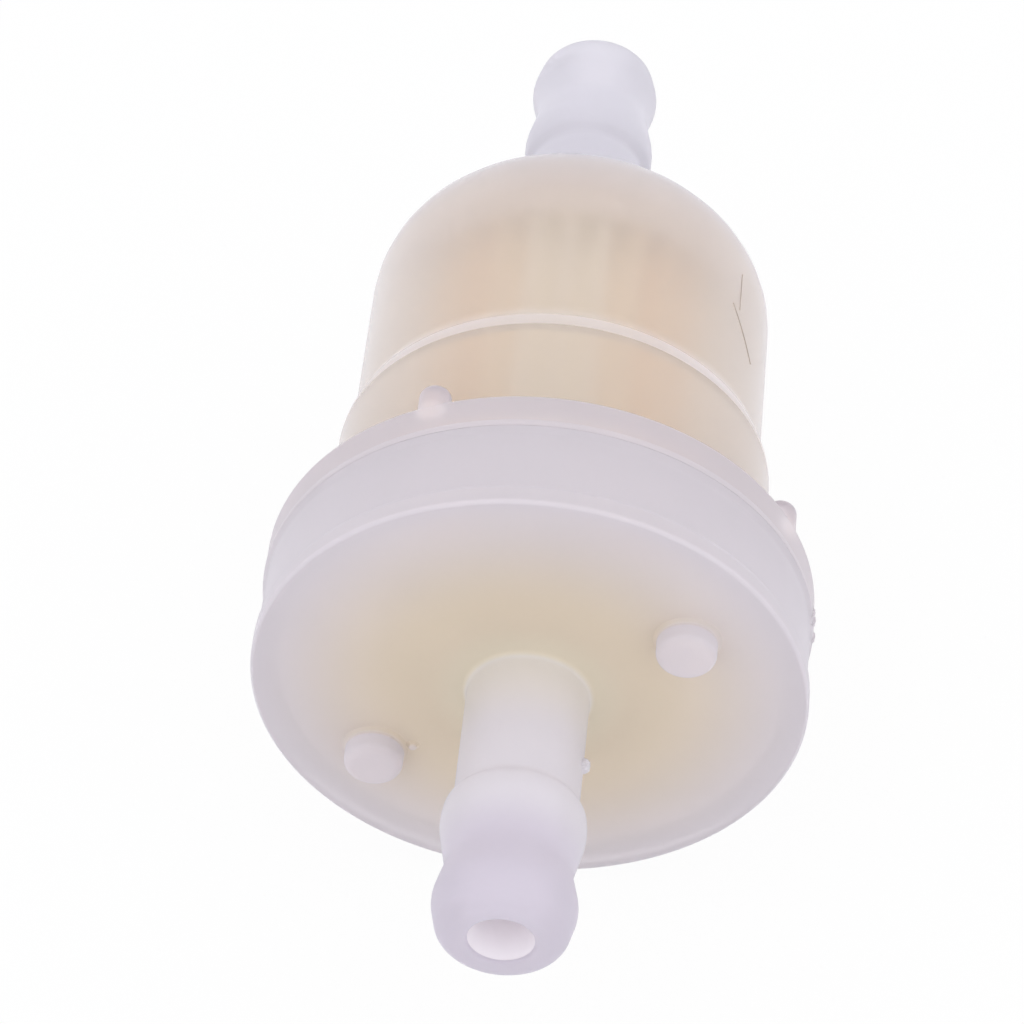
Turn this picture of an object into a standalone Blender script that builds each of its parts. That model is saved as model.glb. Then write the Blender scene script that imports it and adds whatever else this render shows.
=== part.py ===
"""Inline fuel filter for a small engine.

Two moulded halves, the bowl and the base cup, are welded together round a pleated paper element.
Fuel enters the stem on the bowl, passes inwards through the paper and leaves by the stem on the base.
World frame: the flow axis is Y, with the inlet at +Y, and the origin is on that axis in the weld plane.
Every piece is modelled with its own axis along Z, and one empty turns that axis to Y.
"""

import math

import bmesh
import bpy
from mathutils import Matrix, Vector

MM = 0.001

# Hose stems, the same at both ends, with setbacks measured from the tip
STEM_DIAMETER = 8.0 * MM
STEM_BORE = 4.2 * MM
STEM_LENGTH = 20.0 * MM
STEM_ROOT_FILLET = 0.45 * MM
TIP_ROUND = 1.0 * MM
BULB_RISE = 0.65 * MM
BULB_SETBACK = 2.7 * MM
BULB_ROUND = 1.8 * MM
NECK_SETBACK = 5.4 * MM
BARB_RISE = 0.75 * MM
BARB_SETBACK = 8.9 * MM
BARB_ROUND = 3.0 * MM
HEEL_RISE = 0.5 * MM
HEEL_SETBACK = 10.0 * MM
HEEL_LENGTH = 0.7 * MM
HEEL_ROUND = 0.6 * MM

# Bowl, with heights measured from the weld plane
HOUSING_WALL = 1.5 * MM
UPPER_BOWL_DIAMETER = 27.8 * MM
STEP_WIDTH = 0.75 * MM
STEP_HEIGHT = 15.1 * MM
SHOULDER_LENGTH = 1.7 * MM
BOWL_HEIGHT = 34.2 * MM
DOME_ROUND = 6.8 * MM
FLANGE_WIDTH = 3.45 * MM
FLANGE_THICKNESS = 2.5 * MM
FLANGE_ROUND = 0.35 * MM
SPIGOT_WALL = 1.3 * MM
SPIGOT_CLEARANCE = 1.9 * MM

# Pegs on the flange
PEG_COUNT = 4
PEG_DIAMETER = 2.1 * MM
PEG_HEIGHT = 2.2 * MM
PEG_EDGE = 0.1 * MM
PEG_ROUND = 0.55 * MM
PEG_TURN = math.radians(24)

# Raised arrow on the upper bowl, which points to the outlet
ARROW_RISE = 0.25 * MM
ARROW_SETBACK = 4.2 * MM
ARROW_HEAD_WIDTH = 5.9 * MM
ARROW_HEAD_LENGTH = 3.2 * MM
ARROW_SHAFT_WIDTH = 4.2 * MM
ARROW_SHAFT_LENGTH = 3.6 * MM
ARROW_TURN = math.radians(22.5)

# Base cup
BASE_DEPTH = 6.9 * MM
BASE_FLOOR = 1.6 * MM
BASE_ROUND = 0.5 * MM
BAND_WALL = 1.6 * MM
LIP_WIDTH = 0.2 * MM
LIP_HEIGHT = 1.3 * MM

# Round bosses under the base, opposite each other
BOSS_COUNT = 2
BOSS_DIAMETER = 3.9 * MM
BOSS_HEIGHT = 1.8 * MM
BOSS_CIRCLE = 23.8 * MM
BOSS_TURN = math.radians(32)
BOSS_ROUND = 0.35 * MM

# Weld groove and bead at the parting line
WELD_CHAMFER = 0.6 * MM
WELD_PROUD = 0.25 * MM

# Element seat in the base
SEAT_HEIGHT = 1.0 * MM
SEAT_WALL = 1.5 * MM
SOCKET_WEB = 0.9 * MM

# Paper element and its end caps
FUEL_GAP = 2.2 * MM
DOME_GAP = 1.0 * MM
CAP_THICKNESS = 1.0 * MM
CAP_RIM_WALL = 0.8 * MM
CAP_RIM_HEIGHT = 3.0 * MM
CAP_ROUND = 0.35 * MM
HUB_DIAMETER = 7.2 * MM
HUB_WALL = 1.2 * MM
COLLAR_HEIGHT = 1.5 * MM
COLLAR_CLEARANCE = 1.3 * MM
POTTING_THICKNESS = 0.8 * MM
PLEAT_COUNT = 24
PLEAT_FOLD = 0.55 * MM
PAPER_THICKNESS = 0.4 * MM
SEAM_SETBACK = 0.4 * MM
SEAM_ROOT = 0.16 * MM
STANDOFF_COUNT = 4
STANDOFF_THICKNESS = 1.0 * MM
STANDOFF_START = 3.4 * MM
STANDOFF_LENGTH = 3.2 * MM

# Clearance between pieces that touch, and overlap of shapes that are moulded as one
SEAT_GAP = 0.3 * MM
JOIN_OVERLAP = 0.5 * MM

# Mesh fineness
SIDES = 48
PEG_SIDES = 14
FILLET_STEP = math.radians(30)
DOME_STEP = math.radians(15)
CURVE_STEPS = 4
EDGE_STEPS = 2
SHARP_ANGLE = math.radians(35)
MERGE_DISTANCE = 0.01 * MM

# Radii and levels that several pieces share
STEM_RADIUS = STEM_DIAMETER / 2
BORE_RADIUS = STEM_BORE / 2
UPPER_RADIUS = UPPER_BOWL_DIAMETER / 2
LOWER_RADIUS = UPPER_RADIUS + STEP_WIDTH
RIM_RADIUS = LOWER_RADIUS + FLANGE_WIDTH
UPPER_INSIDE = UPPER_RADIUS - HOUSING_WALL
LOWER_INSIDE = LOWER_RADIUS - HOUSING_WALL
BAND_INSIDE = RIM_RADIUS - LIP_WIDTH - BAND_WALL
SPIGOT_RADIUS = BAND_INSIDE - SEAT_GAP
SPIGOT_INSIDE = SPIGOT_RADIUS - SPIGOT_WALL
HALF_GAP = SEAT_GAP / 2
DOME_INSIDE = BOWL_HEIGHT - HOUSING_WALL
DOME_INSIDE_ROUND = DOME_ROUND - HOUSING_WALL
BASE_INSIDE = BASE_FLOOR - BASE_DEPTH
SEAT_TOP = BASE_INSIDE + SEAT_HEIGHT
SOCKET_FLOOR = SOCKET_WEB - BASE_DEPTH
SPIGOT_END = BASE_INSIDE + SPIGOT_CLEARANCE
HUB_RADIUS = HUB_DIAMETER / 2
SOCKET_RADIUS = HUB_RADIUS + SEAT_GAP
CAP_RADIUS = UPPER_INSIDE - FUEL_GAP
CAP_INSIDE = CAP_RADIUS - CAP_RIM_WALL
PAPER_RADIUS = CAP_INSIDE - SEAT_GAP
PAPER_INSIDE = HUB_RADIUS + COLLAR_CLEARANCE
PLEAT_PITCH = 2 * math.pi / PLEAT_COUNT


def dome_level(radius):
    """Height of the dome's inside at a radius."""
    centre = UPPER_INSIDE - DOME_INSIDE_ROUND
    reach = max(0.0, radius - centre)
    return DOME_INSIDE - DOME_INSIDE_ROUND + math.sqrt(DOME_INSIDE_ROUND**2 - reach**2)


LOWER_CAP_BASE = SEAT_TOP + SEAT_GAP
LOWER_CAP_FLOOR = LOWER_CAP_BASE + CAP_THICKNESS
UPPER_CAP_TOP = dome_level(CAP_RADIUS) - DOME_GAP
UPPER_CAP_FLOOR = UPPER_CAP_TOP - CAP_THICKNESS
LOWER_POTTING = LOWER_CAP_FLOOR + SEAT_GAP
UPPER_POTTING = UPPER_CAP_FLOOR - SEAT_GAP
PAPER_BOTTOM = LOWER_POTTING + POTTING_THICKNESS + SEAT_GAP
PAPER_TOP = UPPER_POTTING - POTTING_THICKNESS - SEAT_GAP


def clear_scene():
    for thing in list(bpy.data.objects):
        bpy.data.objects.remove(thing)


def finish(name, colour, roughness):
    """A plain material for one piece."""
    made = bpy.data.materials.new(name)
    made.use_nodes = True
    shader = made.node_tree.nodes["Principled BSDF"]
    shader.inputs["Base Color"].default_value = (*colour, 1.0)
    shader.inputs["Roughness"].default_value = roughness
    shader.inputs["Metallic"].default_value = 0.0
    return made


def rounded(corners):
    """An outline of (radius, height, fillet) corners, with each fillet turned into an arc."""
    points = []
    count = len(corners)
    for index, (radius, height, fillet) in enumerate(corners):
        here = Vector((radius, height))
        if fillet == 0:
            points.append(here)
            continue
        back = (Vector(corners[index - 1][:2]) - here).normalized()
        ahead = (Vector(corners[(index + 1) % count][:2]) - here).normalized()
        half = back.angle(ahead) / 2
        centre = here + (back + ahead).normalized() * fillet / math.sin(half)
        start = here + back * fillet / math.tan(half) - centre
        turn = start.angle_signed(here + ahead * fillet / math.tan(half) - centre)
        step = DOME_STEP if fillet > HOUSING_WALL else FILLET_STEP
        steps = max(1, round(abs(turn) / step))
        for stop in range(steps + 1):
            points.append(centre + Matrix.Rotation(-turn * stop / steps, 2) @ start)
    return points


def object_from(name, mesh, material, axis):
    made = bpy.data.objects.new(name, mesh)
    bpy.context.scene.collection.objects.link(made)
    made.parent = axis
    mesh.materials.append(material)
    mesh.shade_smooth()
    mesh.set_sharp_from_angle(angle=SHARP_ANGLE)
    return made


def turned(name, outline, material, axis, closed=True):
    """A piece turned from an outline of (radius, height) points, run down its outer side."""
    mesh = bpy.data.meshes.new(name)
    last = len(outline) - 1
    edges = [(index, index + 1) for index in range(last)]
    if closed:
        edges.append((last, 0))
    mesh.from_pydata([(point[0], 0, point[1]) for point in outline], edges, [])
    made = object_from(name, mesh, material, axis)
    screw = made.modifiers.new("turn", "SCREW")
    screw.steps = SIDES
    screw.render_steps = SIDES
    screw.use_merge_vertices = True
    screw.merge_threshold = MERGE_DISTANCE
    screw.use_smooth_shade = True
    return made


def joined(piece, helper):
    """Adds a hidden helper's shape to a piece."""
    helper.hide_render = True
    helper.display_type = "WIRE"
    union = piece.modifiers.new(helper.name, "BOOLEAN")
    union.operation = "UNION"
    union.solver = "EXACT"
    union.object = helper


def rounded_stud(name, diameter, base, top, edge_round, material, axis):
    """A round stud from one height to another, with a rounded edge on the far end."""
    shape = bmesh.new()
    bmesh.ops.create_cone(
        shape,
        cap_ends=True,
        segments=PEG_SIDES,
        radius1=diameter / 2,
        radius2=diameter / 2,
        depth=abs(top - base),
        matrix=Matrix.Translation((0, 0, (base + top) / 2)),
    )
    rim = [edge for edge in shape.edges if all(abs(v.co.z - top) < MERGE_DISTANCE for v in edge.verts)]
    bmesh.ops.bevel(shape, geom=rim, offset=edge_round, segments=EDGE_STEPS, profile=0.5, affect="EDGES")
    mesh = bpy.data.meshes.new(name)
    shape.to_mesh(mesh)
    shape.free()
    return object_from(name, mesh, material, axis)


def stem_corners(root, tip):
    """A hose stem's outside from its tip to its root."""
    way = math.copysign(1.0, root - tip)
    return [
        (BORE_RADIUS, tip, 0),
        (STEM_RADIUS, tip, TIP_ROUND),
        (STEM_RADIUS + BULB_RISE, tip + way * BULB_SETBACK, BULB_ROUND),
        (STEM_RADIUS, tip + way * NECK_SETBACK, BULB_ROUND),
        (STEM_RADIUS + BARB_RISE, tip + way * BARB_SETBACK, BARB_ROUND),
        (STEM_RADIUS + HEEL_RISE, tip + way * HEEL_SETBACK, HEEL_ROUND),
        (STEM_RADIUS, tip + way * (HEEL_SETBACK + HEEL_LENGTH), 0),
        (STEM_RADIUS, root, STEM_ROOT_FILLET),
    ]


def shoulder():
    """The soft step between the upper and the lower bowl wall, from top to bottom."""
    corners = []
    for stop in range(CURVE_STEPS + 1):
        turn = math.pi / 2 * stop / CURVE_STEPS
        radius = UPPER_RADIUS + STEP_WIDTH * math.sin(turn)
        height = STEP_HEIGHT - SHOULDER_LENGTH * (1 - math.cos(turn))
        corners.append((radius, height, 0))
    return corners


def flow_arrow(material, axis):
    """A raised arrow that follows the round of the upper bowl."""
    tip = STEP_HEIGHT + ARROW_SETBACK
    neck = tip + ARROW_HEAD_LENGTH
    tail = neck + ARROW_SHAFT_LENGTH
    head = ARROW_HEAD_WIDTH / 2
    shaft = ARROW_SHAFT_WIDTH / 2
    outline = [
        (0, tip),
        (head, neck),
        (shaft, neck),
        (shaft, tail),
        (0, tail),
        (-shaft, tail),
        (-shaft, neck),
        (-head, neck),
    ]
    root = UPPER_RADIUS - JOIN_OVERLAP
    shape = bmesh.new()
    points = []
    for across, height in outline:
        turn = ARROW_TURN + across / UPPER_RADIUS
        points.append(shape.verts.new((root * math.cos(turn), -root * math.sin(turn), height)))
    shape.faces.new(points[:5])
    shape.faces.new((*points[4:], points[0]))
    bmesh.ops.triangulate(shape, faces=shape.faces[:])
    drawn = bmesh.ops.extrude_face_region(shape, geom=shape.faces[:], use_keep_orig=True)
    outside = [item for item in drawn["geom"] if isinstance(item, bmesh.types.BMVert)]
    spread = (UPPER_RADIUS + ARROW_RISE) / root
    bmesh.ops.scale(shape, vec=(spread, spread, 1), verts=outside)
    bmesh.ops.recalc_face_normals(shape, faces=shape.faces[:])
    mesh = bpy.data.meshes.new("arrow_shape")
    shape.to_mesh(mesh)
    shape.free()
    return object_from(mesh.name, mesh, material, axis)


def make_bowl(material, axis):
    weld_face = HALF_GAP
    inner_flange = FLANGE_THICKNESS - HOUSING_WALL
    corners = stem_corners(BOWL_HEIGHT, BOWL_HEIGHT + STEM_LENGTH)
    corners.append((UPPER_RADIUS, BOWL_HEIGHT, DOME_ROUND))
    corners.extend(shoulder())
    corners.extend(
        [
            (LOWER_RADIUS, FLANGE_THICKNESS, FLANGE_ROUND),
            (RIM_RADIUS, FLANGE_THICKNESS, FLANGE_ROUND),
            (RIM_RADIUS, weld_face + WELD_CHAMFER, 0),
            (RIM_RADIUS - WELD_CHAMFER, weld_face, 0),
            (SPIGOT_RADIUS, weld_face, 0),
            (SPIGOT_RADIUS, SPIGOT_END, FLANGE_ROUND),
            (SPIGOT_INSIDE, SPIGOT_END, 0),
            (SPIGOT_INSIDE, inner_flange, 0),
            (LOWER_INSIDE, inner_flange, FLANGE_ROUND),
            (LOWER_INSIDE, STEP_HEIGHT - SHOULDER_LENGTH, 0),
            (UPPER_INSIDE, STEP_HEIGHT - SHOULDER_LENGTH / 2, 0),
            (UPPER_INSIDE, DOME_INSIDE, DOME_INSIDE_ROUND),
            (BORE_RADIUS, DOME_INSIDE, 0),
        ]
    )
    bowl = turned("bowl", rounded(corners), material, axis)
    circle = RIM_RADIUS - PEG_EDGE - PEG_DIAMETER / 2
    for number in range(PEG_COUNT):
        turn = PEG_TURN + 2 * math.pi * number / PEG_COUNT
        peg = rounded_stud(
            f"peg_shape_{number + 1}",
            PEG_DIAMETER,
            FLANGE_THICKNESS - JOIN_OVERLAP,
            FLANGE_THICKNESS + PEG_HEIGHT,
            PEG_ROUND,
            material,
            axis,
        )
        peg.location = (circle * math.cos(turn), -circle * math.sin(turn), 0)
        joined(bowl, peg)
    joined(bowl, flow_arrow(material, axis))
    return bowl


def make_base_cup(material, axis):
    weld_face = -HALF_GAP
    band = RIM_RADIUS - LIP_WIDTH
    lip_top = LIP_HEIGHT - BASE_DEPTH
    stem = stem_corners(-BASE_DEPTH, -BASE_DEPTH - STEM_LENGTH)
    corners = [
        (BAND_INSIDE, weld_face, 0),
        (RIM_RADIUS - WELD_CHAMFER, weld_face, 0),
        (RIM_RADIUS, weld_face - WELD_CHAMFER, 0),
        (band, weld_face - WELD_CHAMFER - LIP_WIDTH, 0),
        (band, lip_top + LIP_WIDTH, 0),
        (RIM_RADIUS, lip_top, 0),
        (RIM_RADIUS, -BASE_DEPTH, BASE_ROUND),
        *reversed(stem),
        (BORE_RADIUS, SOCKET_FLOOR, 0),
        (SOCKET_RADIUS, SOCKET_FLOOR, 0),
        (SOCKET_RADIUS, SEAT_TOP, 0),
        (SOCKET_RADIUS + SEAT_WALL, SEAT_TOP, 0),
        (SOCKET_RADIUS + SEAT_WALL, BASE_INSIDE, 0),
        (BAND_INSIDE, BASE_INSIDE, BASE_ROUND),
    ]
    cup = turned("base_cup", rounded(corners), material, axis)
    for number in range(BOSS_COUNT):
        turn = BOSS_TURN + 2 * math.pi * number / BOSS_COUNT
        boss = rounded_stud(
            f"boss_shape_{number + 1}",
            BOSS_DIAMETER,
            JOIN_OVERLAP - BASE_DEPTH,
            -BASE_DEPTH - BOSS_HEIGHT,
            BOSS_ROUND,
            material,
            axis,
        )
        boss.location = (BOSS_CIRCLE / 2 * math.cos(turn), -BOSS_CIRCLE / 2 * math.sin(turn), 0)
        joined(cup, boss)
    return cup


def make_weld_bead(material, axis):
    """The wedge of fused plastic in the groove, with a round face that stands proud of the rim."""
    root = RIM_RADIUS - WELD_CHAMFER + HALF_GAP / 2
    half = WELD_CHAMFER - HALF_GAP
    edge = root + half
    crown = RIM_RADIUS + WELD_PROUD - edge
    outline = [(root, 0)]
    for stop in range(CURVE_STEPS + 1):
        turn = math.pi / 2 - math.pi * stop / CURVE_STEPS
        outline.append((edge + crown * math.cos(turn), half * math.sin(turn)))
    return turned("weld_bead", outline, material, axis)


def make_bottom_end_cap(material, axis):
    rim_top = LOWER_CAP_BASE + CAP_RIM_HEIGHT
    hub_inside = HUB_RADIUS - HUB_WALL
    corners = [
        (CAP_INSIDE, rim_top, 0),
        (CAP_RADIUS, rim_top, 0),
        (CAP_RADIUS, LOWER_CAP_BASE, CAP_ROUND),
        (HUB_RADIUS, LOWER_CAP_BASE, 0),
        (HUB_RADIUS, SOCKET_FLOOR + SEAT_GAP, 0),
        (hub_inside, SOCKET_FLOOR + SEAT_GAP, 0),
        (hub_inside, LOWER_CAP_FLOOR + COLLAR_HEIGHT, 0),
        (HUB_RADIUS, LOWER_CAP_FLOOR + COLLAR_HEIGHT, 0),
        (HUB_RADIUS, LOWER_CAP_FLOOR, 0),
        (CAP_INSIDE, LOWER_CAP_FLOOR, 0),
    ]
    return turned("bottom_end_cap", rounded(corners), material, axis)


def make_top_end_cap(material, axis):
    rim_bottom = UPPER_CAP_TOP - CAP_RIM_HEIGHT
    corners = [
        (0, UPPER_CAP_TOP, 0),
        (CAP_RADIUS, UPPER_CAP_TOP, CAP_ROUND),
        (CAP_RADIUS, rim_bottom, 0),
        (CAP_INSIDE, rim_bottom, 0),
        (CAP_INSIDE, UPPER_CAP_FLOOR, 0),
        (0, UPPER_CAP_FLOOR, 0),
    ]
    cap = turned("top_end_cap", rounded(corners), material, axis, closed=False)
    foot = UPPER_CAP_TOP - CAP_THICKNESS / 2
    head = dome_level(STANDOFF_START + STANDOFF_LENGTH) - SEAT_GAP
    middle = STANDOFF_START + STANDOFF_LENGTH / 2
    for number in range(STANDOFF_COUNT):
        turn = 2 * math.pi * (number + 0.5) / STANDOFF_COUNT
        shape = bmesh.new()
        bmesh.ops.create_cube(shape, size=1)
        size = Matrix.Diagonal((STANDOFF_LENGTH, STANDOFF_THICKNESS, head - foot, 1))
        place = Matrix.Translation((middle, 0, (head + foot) / 2))
        bmesh.ops.transform(shape, matrix=Matrix.Rotation(turn, 4, "Z") @ place @ size, verts=shape.verts)
        mesh = bpy.data.meshes.new(f"standoff_shape_{number + 1}")
        shape.to_mesh(mesh)
        shape.free()
        joined(cap, object_from(mesh.name, mesh, material, axis))
    return cap


def make_potting(name, bottom, inside, material, axis):
    """A poured layer of adhesive in a cap: a ring round the hub, or a full disc."""
    top = bottom + POTTING_THICKNESS
    outside = CAP_INSIDE - SEAT_GAP
    outline = [(inside, top), (outside, top), (outside, bottom), (inside, bottom)]
    return turned(name, outline, material, axis, closed=inside > 0)


def pleat_corners(offset):
    """Radius and half width of a pleat's crest and of the valley beside it, for one face of the paper."""
    crest = PAPER_RADIUS - PAPER_THICKNESS / 2 + offset
    valley = PAPER_INSIDE + PAPER_THICKNESS / 2 + offset
    return (crest, PLEAT_FOLD / 2 + offset), (valley, PLEAT_FOLD / 2 - offset)


def pleat_loop(offset):
    """One face of the pleated strip, as points round the axis, at an offset from its middle."""
    points = []
    for pleat in range(PLEAT_COUNT):
        for number, (radius, half) in enumerate(pleat_corners(offset)):
            for side in (-1, 1):
                turn = (pleat + number / 2) * PLEAT_PITCH + side * half / radius
                points.append((radius * math.cos(turn), radius * math.sin(turn), PAPER_BOTTOM))
    return points


def drawn_up(name, shape, material, axis):
    """Gives the flat faces of a section the paper's height, and makes them a piece."""
    drawn = bmesh.ops.extrude_face_region(shape, geom=shape.faces[:], use_keep_orig=True)
    raised = [item for item in drawn["geom"] if isinstance(item, bmesh.types.BMVert)]
    bmesh.ops.translate(shape, verts=raised, vec=(0, 0, PAPER_TOP - PAPER_BOTTOM))
    bmesh.ops.recalc_face_normals(shape, faces=shape.faces[:])
    mesh = bpy.data.meshes.new(name)
    shape.to_mesh(mesh)
    shape.free()
    return object_from(name, mesh, material, axis)


def make_filter_paper(material, axis):
    """The pleated strip, closed into a star-shaped tube."""
    shape = bmesh.new()
    outer = [shape.verts.new(point) for point in pleat_loop(PAPER_THICKNESS / 2)]
    inner = [shape.verts.new(point) for point in pleat_loop(-PAPER_THICKNESS / 2)]
    for index, corner in enumerate(outer):
        before = index - 1
        shape.faces.new((outer[before], inner[before], inner[index], corner))
    return drawn_up("filter_paper", shape, material, axis)


def make_seam_bead(material, axis):
    """The adhesive wedge that closes the strip, in the mouth of one valley of the paper."""
    (crest, crest_half), (valley, valley_half) = pleat_corners(PAPER_THICKNESS / 2)
    mouth_half = PLEAT_PITCH / 2 * crest - crest_half
    flare = (mouth_half - valley_half) / (crest - valley)
    outside = crest - SEAM_SETBACK
    outside_half = mouth_half - flare * SEAM_SETBACK - SEAT_GAP
    inside_half = SEAM_ROOT / 2
    inside = outside - (outside_half - inside_half) / flare
    section = [
        (outside, -outside_half, PAPER_BOTTOM),
        (outside, outside_half, PAPER_BOTTOM),
        (inside, inside_half, PAPER_BOTTOM),
        (inside, -inside_half, PAPER_BOTTOM),
    ]
    shape = bmesh.new()
    shape.faces.new([shape.verts.new(point) for point in section])
    to_valley = Matrix.Rotation(PLEAT_PITCH / 2, 3, "Z")
    bmesh.ops.rotate(shape, verts=shape.verts, cent=(0, 0, 0), matrix=to_valley)
    return drawn_up("seam_bead", shape, material, axis)


def make_filter():
    axis = bpy.data.objects.new("flow_axis", None)
    bpy.context.scene.collection.objects.link(axis)
    axis.rotation_euler = (-math.pi / 2, 0, 0)
    make_bowl(finish("bowl", (0.72, 0.68, 0.70), 0.42), axis)
    make_base_cup(finish("base_cup", (0.70, 0.66, 0.67), 0.42), axis)
    make_weld_bead(finish("weld_bead", (0.76, 0.73, 0.75), 0.35), axis)
    make_filter_paper(finish("filter_paper", (0.74, 0.58, 0.33), 0.9), axis)
    make_seam_bead(finish("seam_bead", (0.80, 0.72, 0.55), 0.5), axis)
    make_top_end_cap(finish("top_end_cap", (0.78, 0.76, 0.74), 0.5), axis)
    make_bottom_end_cap(finish("bottom_end_cap", (0.78, 0.76, 0.74), 0.5), axis)
    glue = finish("potting", (0.78, 0.66, 0.42), 0.5)
    make_potting("top_potting", UPPER_POTTING - POTTING_THICKNESS, 0, glue, axis)
    make_potting("bottom_potting", LOWER_POTTING, HUB_RADIUS + SEAT_GAP, glue, axis)


clear_scene()
make_filter()
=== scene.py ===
"""The looks of an inline fuel filter: milky moulded nylon round a pleated paper element.

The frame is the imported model's own: the flow axis is Y with the inlet at +Y, Z is up, lengths are metres.
An outline is a list of (radius, distance along the axis, fillet) corners, run down the outer side.
"""

import math

import bmesh
import bpy
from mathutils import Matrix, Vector


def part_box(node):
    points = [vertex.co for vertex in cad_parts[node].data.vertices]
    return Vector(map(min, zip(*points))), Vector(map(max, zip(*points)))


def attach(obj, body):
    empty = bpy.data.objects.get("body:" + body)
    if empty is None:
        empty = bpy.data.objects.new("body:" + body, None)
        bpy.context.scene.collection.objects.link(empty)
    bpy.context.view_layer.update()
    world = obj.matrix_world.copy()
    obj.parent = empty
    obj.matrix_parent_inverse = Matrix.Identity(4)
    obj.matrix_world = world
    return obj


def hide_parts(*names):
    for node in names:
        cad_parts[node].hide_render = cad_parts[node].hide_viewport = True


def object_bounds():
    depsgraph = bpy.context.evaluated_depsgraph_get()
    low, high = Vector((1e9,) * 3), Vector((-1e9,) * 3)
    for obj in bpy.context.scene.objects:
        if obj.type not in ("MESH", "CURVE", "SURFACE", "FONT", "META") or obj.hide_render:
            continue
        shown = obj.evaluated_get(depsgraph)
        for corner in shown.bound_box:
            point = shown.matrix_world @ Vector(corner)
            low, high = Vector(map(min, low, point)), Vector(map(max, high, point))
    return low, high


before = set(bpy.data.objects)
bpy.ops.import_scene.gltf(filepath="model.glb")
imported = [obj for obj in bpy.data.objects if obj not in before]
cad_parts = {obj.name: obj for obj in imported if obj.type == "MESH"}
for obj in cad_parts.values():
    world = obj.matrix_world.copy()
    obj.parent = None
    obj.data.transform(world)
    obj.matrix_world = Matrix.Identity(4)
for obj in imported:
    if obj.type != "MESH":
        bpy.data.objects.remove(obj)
CAD_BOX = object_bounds()
MM = 0.001

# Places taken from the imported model
BOWL_LOW, BOWL_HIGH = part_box("bowl")
CUP_LOW, CUP_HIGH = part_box("base_cup")
BEAD_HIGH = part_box("weld_bead")[1]
PAPER_LOW, PAPER_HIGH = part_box("filter_paper")
TOP_CAP_LOW, TOP_CAP_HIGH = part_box("top_end_cap")
BOTTOM_CAP_LOW, BOTTOM_CAP_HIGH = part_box("bottom_end_cap")
TOP_GLUE_LOW, TOP_GLUE_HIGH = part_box("top_potting")
BOTTOM_GLUE_LOW, BOTTOM_GLUE_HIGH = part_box("bottom_potting")
RIM_RADIUS = CUP_HIGH[0]
INLET_TIP = BOWL_HIGH[1]
OUTLET_TIP = CUP_LOW[1]

# Hose stems, with setbacks from the tip
STEM_LENGTH = 20.0 * MM
STEM_RADIUS = 4.0 * MM
BORE_RADIUS = 2.1 * MM
BORE_EDGE = 0.2 * MM
TIP_ROUND = 1.3 * MM
BULB_RADIUS = 4.65 * MM
BULB_SETBACK = 2.7 * MM
BULB_ROUND = 2.4 * MM
NECK_SETBACK = 5.4 * MM
BARB_RADIUS = 4.75 * MM
BARB_SETBACK = 8.9 * MM
BARB_ROUND = 4.0 * MM
HEEL_RADIUS = 4.5 * MM
HEEL_SETBACK = 10.0 * MM
HEEL_LENGTH = 0.7 * MM
HEEL_ROUND = 0.8 * MM
STEM_ROOT = 0.45 * MM

# Bowl
DOME_TOP = INLET_TIP - STEM_LENGTH
WALL = 1.5 * MM
UPPER_RADIUS = 13.9 * MM
STEP_WIDTH = 0.75 * MM
LOWER_RADIUS = UPPER_RADIUS + STEP_WIDTH
STEP_LEVEL = 15.1 * MM
SHOULDER_LENGTH = 2.6 * MM
SHOULDER_STEPS = 10
INNER_STEP_TOP = STEP_LEVEL - 0.8 * MM
INNER_STEP_LENGTH = 1.5 * MM
DOME_ROUND = 6.8 * MM
FLANGE_TOP = 2.5 * MM
SPIGOT_RADIUS = RIM_RADIUS - 2.1 * MM
SPIGOT_WALL = 1.3 * MM
SPIGOT_END = BOWL_LOW[1]
SOFT_EDGE = 0.4 * MM
CRISP_EDGE = 0.15 * MM

# Weld between the halves, and lumps of flash on it
WELD_GROOVE = 0.25 * MM
WELD_LINE = 0.02 * MM
WELD_RISE = 0.05 * MM
FLASH_SIZE = 0.5 * MM
FLASH_CIRCLE = BEAD_HIGH[0] - 1.1 * FLASH_SIZE
FLASH_TURNS = (math.radians(6.5), math.radians(4.0), math.radians(-1.0))

# Pegs on the flange, bosses and moulding marks on the base
PEG_COUNT = 4
PEG_RADIUS = 1.05 * MM
PEG_HEIGHT = 2.2 * MM
PEG_INSET = 0.1 * MM
PEG_CIRCLE = RIM_RADIUS - PEG_RADIUS - PEG_INSET
PEG_TURN = math.radians(24)
PEG_ROUND = 0.7 * MM
PEG_FLARE = 0.02 * MM
BOSS_COUNT = 2
BOSS_RADIUS = 1.95 * MM
BOSS_HEIGHT = 1.8 * MM
BOSS_CIRCLE = 11.9 * MM
BOSS_TURN = math.radians(32)
BOSS_ROUND = 0.7 * MM
BOSS_FLARE = 0.25 * MM
GATE_RADIUS = 0.3 * MM
GATE_HEIGHT = 0.3 * MM
GATE_CIRCLE = 9.5 * MM
GATE_TURN = math.radians(217)
NUB_SIZE = 0.5 * MM
NUB_SETBACK = 14.1 * MM
NUB_TURN = math.radians(5)
STUD_SUNK = 0.5 * MM
LUMP_UNEVENNESS = 0.125
LUMP_SEED = 4

# Base cup
BASE_FACE = OUTLET_TIP + STEM_LENGTH
BASE_FLOOR = 1.6 * MM
BASE_EDGE = 0.3 * MM
BAND_RADIUS = RIM_RADIUS - 0.2 * MM
BAND_WALL = 1.6 * MM
BAND_TOP = -3 * WELD_GROOVE
LIP_HEIGHT = 1.3 * MM
SEAT_RADIUS = 3.9 * MM
SEAT_WALL = 1.5 * MM
SEAT_HEIGHT = 1.0 * MM
SOCKET_WEB = 0.9 * MM

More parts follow.
